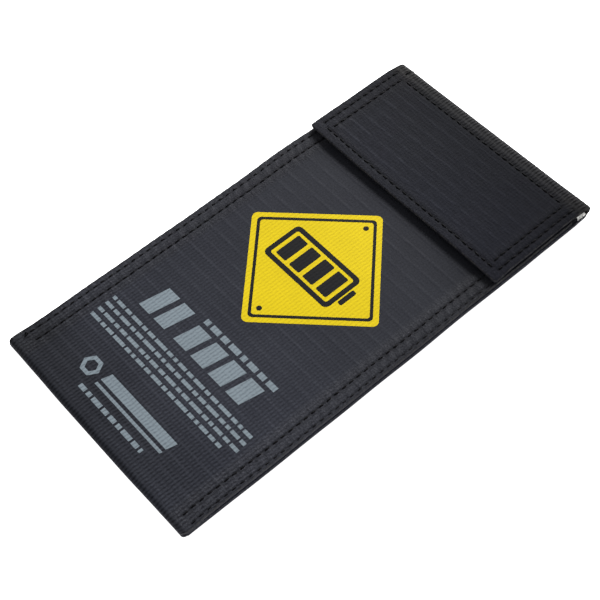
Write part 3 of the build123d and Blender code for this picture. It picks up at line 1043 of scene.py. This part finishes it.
def sliver():
    along = np.linspace(0, 1, 26)
    across = np.linspace(0, 1, 13)
    t, w = np.meshgrid(along, across, indexing="ij")
    ragged = 0.22 * np.sin(t * 17) + 0.12 * np.sin(t * 41 + 1) + 0.06 * np.sin(t * 83)
    x = HALF_W - 2.1 + w * (0.55 + 0.75 * t ** 3 + ragged * w) * (0.4 + 0.6 * smooth(t / 0.3))
    y = SLIVER_Y + SLIVER_LEN * t + 0.8 * w * (1 - t)
    z = SEAM_T + 0.65 + SLIVER_RISE * t * t + 0.30 * np.sin(w * 2.8) - 0.7 * w ** 6
    points = np.stack([x, y, z], axis=-1).reshape(-1, 3)
    obj = make("lining_edge", points, grid_faces(*t.shape, flip=True), GLASS_LOOK,
               np.column_stack([x.ravel(), y.ravel()]))
    finish_piece(thicken(obj, LINING))
    strands = []
    for _ in range(46):
        share = rng.uniform(0, 1)
        root = np.array([HALF_W - 1.2, SLIVER_Y + SLIVER_LEN * share,
                         SEAM_T + 0.42 + SLIVER_RISE * share * share])
        reach = np.array([rng.uniform(0.2, 0.7), rng.normal(0, 0.3), rng.normal(0.05, 0.2)])
        bend = np.linspace(0, 1, 5)[:, None]
        strands.append(tube_along(root + bend * reach + bend ** 2 * (0, 0, rng.normal(0, 0.15)), 0.045, 4))
    finish_piece(make("lining_fray", *join_parts(strands), FIBRE_LOOK))


sliver()

# print
finish_piece(printed("yellow_sign", "yellow_print", FIRST_FILM, YELLOW), ["yellow_print"])
finish_piece(printed("black_symbol", "black_print", SECOND_FILM, BLACK), ["black_print"])
finish_piece(printed("grey_marks", "grey_print", FIRST_FILM, GREY), ["grey_print"])

# ---- the flat sizes of the sheets of cloth, lining and tape, worked out and not kept ----
TURN = (math.pi - 2) / 2   # what an edge's half round adds, as a share of its thickness


def cut_size(panel, length, side_hem, end_hem=0.0):
    """Flat width and length of a panel, its turned edges laid out."""
    width = 2 * (HALF_W + side_hem + TURN * THICK[panel])
    return width * MM, (length + (end_hem + TURN * THICK[panel] if end_hem else 0)) * MM


cut_size("front", S_BACK, SEAM, MOUTH_HEM)
cut_size("back", S_SPLIT - S_BACK, SEAM)
cut_size("flap", S_END - S_SPLIT, FLAP_HEM, FLAP_HEM)
(S_BACK - LINING_INSET) * MM
(S_SPLIT - S_BACK) * MM
(S_END - LINING_INSET - S_SPLIT) * MM
(loop_ends[1] - loop_ends[0]) * MM
(hook_ends[1] - hook_ends[0]) * MM

# ---- floor, light and camera ----
FLOOR_Z = -0.15 * MM   # just under the bag's lowest point


def floor():
    corners = [(x, y, FLOOR_Z) for x, y in ((-9, -9), (9, -9), (9, 9), (-9, 9))]
    mesh = bpy.data.meshes.new("floor")
    mesh.from_pydata(corners, [], [[0, 1, 2, 3]])
    graph = Graph("studio_floor")
    grain = graph.noise(graph.position(), 30.0)
    pale = graph.between(grain, (0.90, 0.90, 0.90), (0.93, 0.93, 0.93), 0.3, 0.7)
    graph.set(Base_Color=pale, Roughness=0.8, Emission_Color=(1.0, 1.0, 1.0, 1.0), Emission_Strength=0.95)
    mesh.materials.append(graph.owner)
    linked("floor", mesh)


def soft_light(name, place_m, size, power):
    light = bpy.data.lights.new(name, "AREA")
    light.shape, light.size, light.size_y, light.energy = "RECTANGLE", size[0], size[1], power
    obj = linked(name, light)
    obj.location = place_m
    obj.rotation_euler = Vector(place_m).to_track_quat("Z", "Y").to_euler()


def camera():
    azimuth, elevation, roll = (math.radians(a) for a in (51.76, 56.53, -3.54))
    target, distance = Vector((5.39, -8.51, 0.0)) * MM, 494.2 * MM
    away = Vector((math.sin(azimuth) * math.cos(elevation), -math.cos(azimuth) * math.cos(elevation),
                   math.sin(elevation)))
    level = (-away).cross(Vector((0, 0, 1))).normalized()
    upright = level.cross(-away)
    right = level * math.cos(roll) + upright * math.sin(roll)
    up = upright * math.cos(roll) - level * math.sin(roll)
    data = bpy.data.cameras.new("camera")
    data.lens, data.sensor_width, data.dof.use_dof = 79.2, 36.0, False
    obj = linked("camera", data)
    turn = Matrix((right, up, away)).transposed().to_4x4()
    obj.matrix_world = Matrix.Translation(target + away * distance) @ turn
    bpy.context.scene.camera = obj


BRIGHT_SIDE = (-0.62, 0.10, 0.78)


def sky():
    """A studio tent: a pale wall all round, and above it brighter to the left than to the right."""
    graph = Graph("studio", world=True)
    where = graph.node("ShaderNodeTexCoord", None, "Generated")
    sides = {0: where, 1: Vector(BRIGHT_SIDE).normalized()}
    facing = graph.node("ShaderNodeVectorMath", sides, "Value", operation="DOT_PRODUCT")
    height = graph.node("ShaderNodeSeparateXYZ", {0: where}, "Z")
    tent = graph.between(facing, 0.03, 0.42, -0.2, 0.95, "SMOOTHSTEP")
    wall = graph.between(height, 1.0, 0.0, 0.10, 0.24, "SMOOTHSTEP")
    graph.set(Color=(1.0, 1.0, 1.0, 1.0), Strength=graph.larger(tent, wall))
    bpy.context.scene.world = graph.owner


floor()
soft_light("key", (-0.75, 1.17, 0.66), (0.68, 0.45), 58.0)
soft_light("side", (0.90, -0.25, 0.22), (0.8, 0.3), 5.0)
camera()
sky()
bpy.context.scene.view_settings.view_transform = "Standard"
